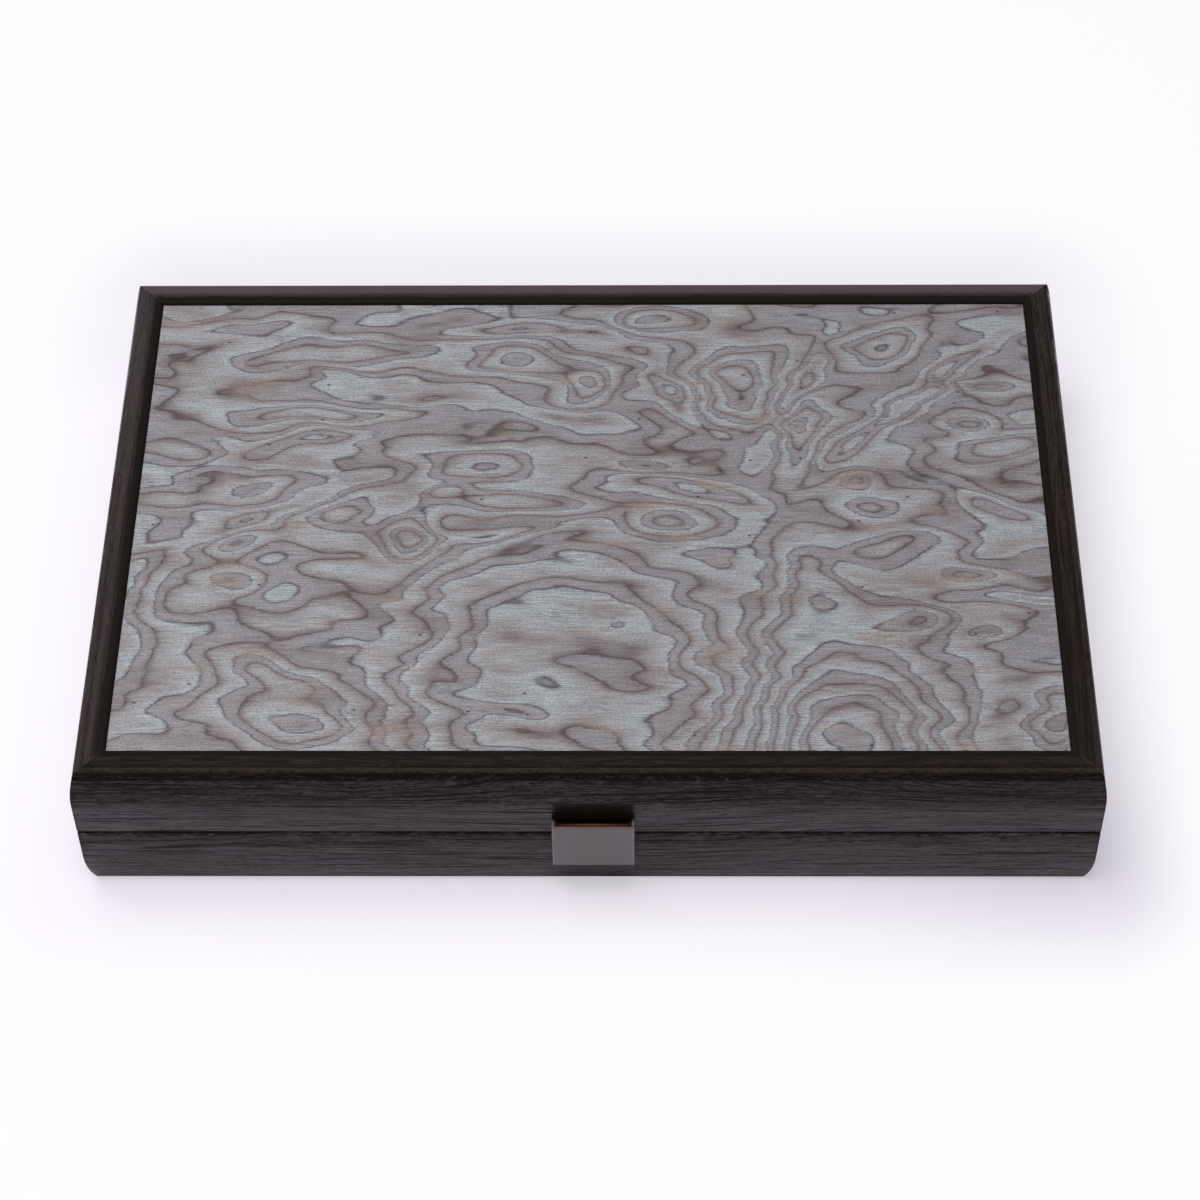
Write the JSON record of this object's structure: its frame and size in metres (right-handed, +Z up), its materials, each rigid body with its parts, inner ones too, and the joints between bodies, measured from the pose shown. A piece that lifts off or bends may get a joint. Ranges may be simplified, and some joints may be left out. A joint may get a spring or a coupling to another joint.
{
  "type": "backgammon board",
  "caption": "Folding backgammon case: two mitred moulded frames with veneered panels, inlaid field, side rack with its playing pieces, rear hinges and a swing clasp.",
  "frame": {"origin": "middle of the closed case's underside, on the plane of the base's outer rim", "axes": "+X along the hinge line, to the right seen from the clasp; +Y from the clasp to the hinges; +Z up"},
  "size_m": [0.38, 0.2631, 0.068],
  "materials": {
    "black_ash_rail": "black open-grained ash foil, satin",
    "burl_veneer": "grey dyed burl veneer, lacquered",
    "core_board": "raw fibreboard",
    "field_veneer": "grey dyed straight-grained veneer, satin",
    "dark_inlay": "black dyed veneer, satin",
    "light_inlay": "pale maple veneer, satin",
    "plywood": "birch plywood",
    "gunmetal": "gunmetal plated, satin",
    "hinge_steel": "gunmetal plated",
    "spring_steel": "bright spring steel",
    "dark_screws": "blackened steel",
    "dark_checker": "polished black",
    "light_checker": "polished pearl white",
    "dark_die": "polished black, pale spots",
    "light_die": "polished ivory, dark spots"
  },
  "bodies": {
    "base": {"base_front_rail": "black_ash_rail", "base_back_rail": "black_ash_rail", "base_left_rail": "black_ash_rail", "base_right_rail": "black_ash_rail", "base_corner_keys": "plywood", "base_outer_veneer": "burl_veneer", "base_panel": "core_board", "base_field_veneer": "field_veneer", "base_dark_points": "dark_inlay", "base_light_points": "light_inlay", "base_rack_divider": "black_ash_rail", "base_hinge_leaves": "hinge_steel", "base_hinge_screws": "dark_screws", "hinge_pins": "hinge_steel", "clasp_keeper": "gunmetal", "clasp_keeper_screws": "dark_screws", "dark_checkers": "dark_checker", "light_checkers": "light_checker", "dark_dice": "dark_die", "light_dice": "light_die", "doubling_cube": "light_die"},
    "lid": {"lid_front_rail": "black_ash_rail", "lid_back_rail": "black_ash_rail", "lid_left_rail": "black_ash_rail", "lid_right_rail": "black_ash_rail", "lid_corner_keys": "plywood", "lid_outer_veneer": "burl_veneer", "lid_panel": "core_board", "lid_field_veneer": "field_veneer", "lid_dark_points": "dark_inlay", "lid_light_points": "light_inlay", "lid_rack_divider": "black_ash_rail", "lid_hinge_leaves": "hinge_steel", "lid_hinge_screws": "dark_screws", "clasp_mount": "gunmetal", "clasp_mount_screws": "dark_screws"},
    "clasp": {"clasp_flap": "gunmetal", "clasp_tongue": "spring_steel", "clasp_pin": "hinge_steel"}
  },
  "joints": [
    {"name": "lid_hinge", "type": "hinge", "parent": "base", "child": "lid", "pos_m": [0, 0.1275, 0.034], "axis": [-1, 0, 0], "range_deg": [0, 180]},
    {"name": "clasp_hinge", "type": "hinge", "parent": "lid", "child": "clasp", "pos_m": [0.002, -0.1299, 0.0426], "axis": [-1, 0, 0], "range_deg": [0, 90]}
  ]
}
